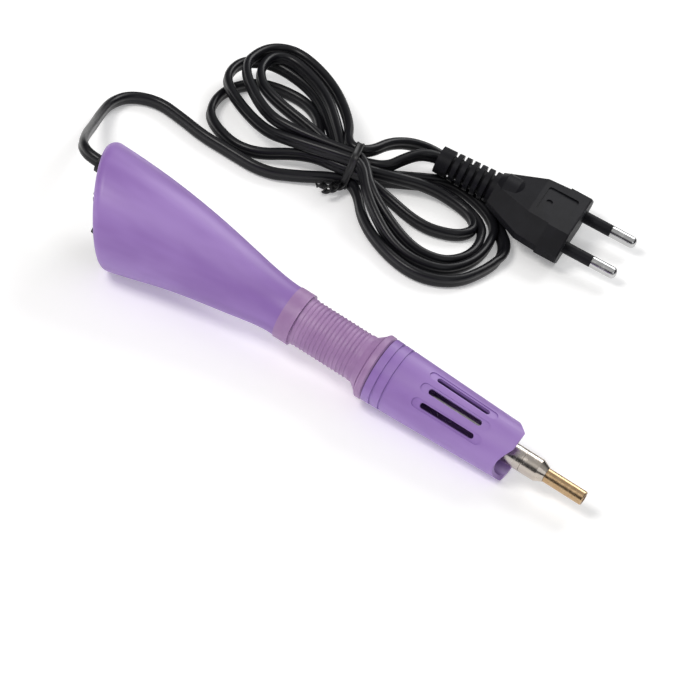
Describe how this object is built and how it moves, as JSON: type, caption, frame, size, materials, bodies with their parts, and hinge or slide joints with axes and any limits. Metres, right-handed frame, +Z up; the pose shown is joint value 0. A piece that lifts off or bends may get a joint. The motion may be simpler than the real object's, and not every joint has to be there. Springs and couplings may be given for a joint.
{
  "type": "heated applicator wand",
  "caption": "Pen-like mains heated hand tool with a flared tail, rocker switch, ribbed soft grip, vented nose, brass tip, and a tied flat cord with a two-pin plug.",
  "frame": {"origin": "on the table, under the middle of the tool's own box, the cord and plug left out", "axes": "+X toward the tip, seen from above; +Z up from the table; the tool's own axis dips 4.1 degrees toward the tip"},
  "size_m": [0.2091, 0.1485, 0.0371],
  "materials": {
    "body_purple": "satin moulded plastic with faint flow marks",
    "grip_mauve": "soft translucent moulded grip",
    "cap_black": "fine textured plastic",
    "switch_black": "polished switch plastic",
    "screw_steel": "turned steel",
    "barrel_nickel": "bright nickel plate",
    "tip_brass": "turned brass",
    "ceramic_white": "fired ceramic",
    "mica_amber": "split mica sheet",
    "winding_wire": "resistance wire",
    "wire_blue": "thin insulated wire",
    "wire_brown": "thin insulated wire",
    "terminal_brass": "stamped brass",
    "cord_black": "satin flat twin cord",
    "plug_black": "moulded plug rubber",
    "pin_nickel": "bright nickel plate",
    "tie_black": "twist tie"
  },
  "bodies": {
    "root": {"handle_shell": "body_purple", "tail_cap": "cap_black", "cap_screws": "screw_steel", "cord_grommet": "cap_black", "cord_inner": "cord_black", "clamp_bar": "cap_black", "clamp_screws": "screw_steel", "rocker_housing": "switch_black", "switch_terminals": "terminal_brass", "grip_sleeve": "grip_mauve", "nose_cover": "body_purple", "nose_screws": "screw_steel", "mica_washer": "mica_amber", "barrel_flange": "screw_steel", "barrel": "barrel_nickel", "heater_core": "ceramic_white", "heater_winding": "winding_wire", "heater_insulation": "mica_amber", "tip_socket": "barrel_nickel", "switch_lead": "wire_brown", "live_lead": "wire_brown", "neutral_lead": "wire_blue", "crimp_sleeves": "terminal_brass", "plug_body": "plug_black", "plug_bridge": "plug_black", "plug_pins": "pin_nickel", "pin_sleeves": "plug_black", "cord_hank": "cord_black", "cord_tie": "tie_black", "cord_lead": "cord_black", "cord_tail": "cord_black"},
    "rocker": {"rocker": "switch_black"},
    "tip": {"tip": "tip_brass"}
  },
  "joints": [
    {"name": "rocker_hinge", "type": "hinge", "parent": "root", "child": "rocker", "pos_m": [-0.07967, -0.00292, 0.01496], "axis": [0.0472, -0.7547, 0.6544], "range_deg": [0, 24]},
    {"name": "tip_slide", "type": "slide", "parent": "root", "child": "tip", "axis": [0.9974, 0, -0.072], "range_m": [0, 0.007]}
  ]
}
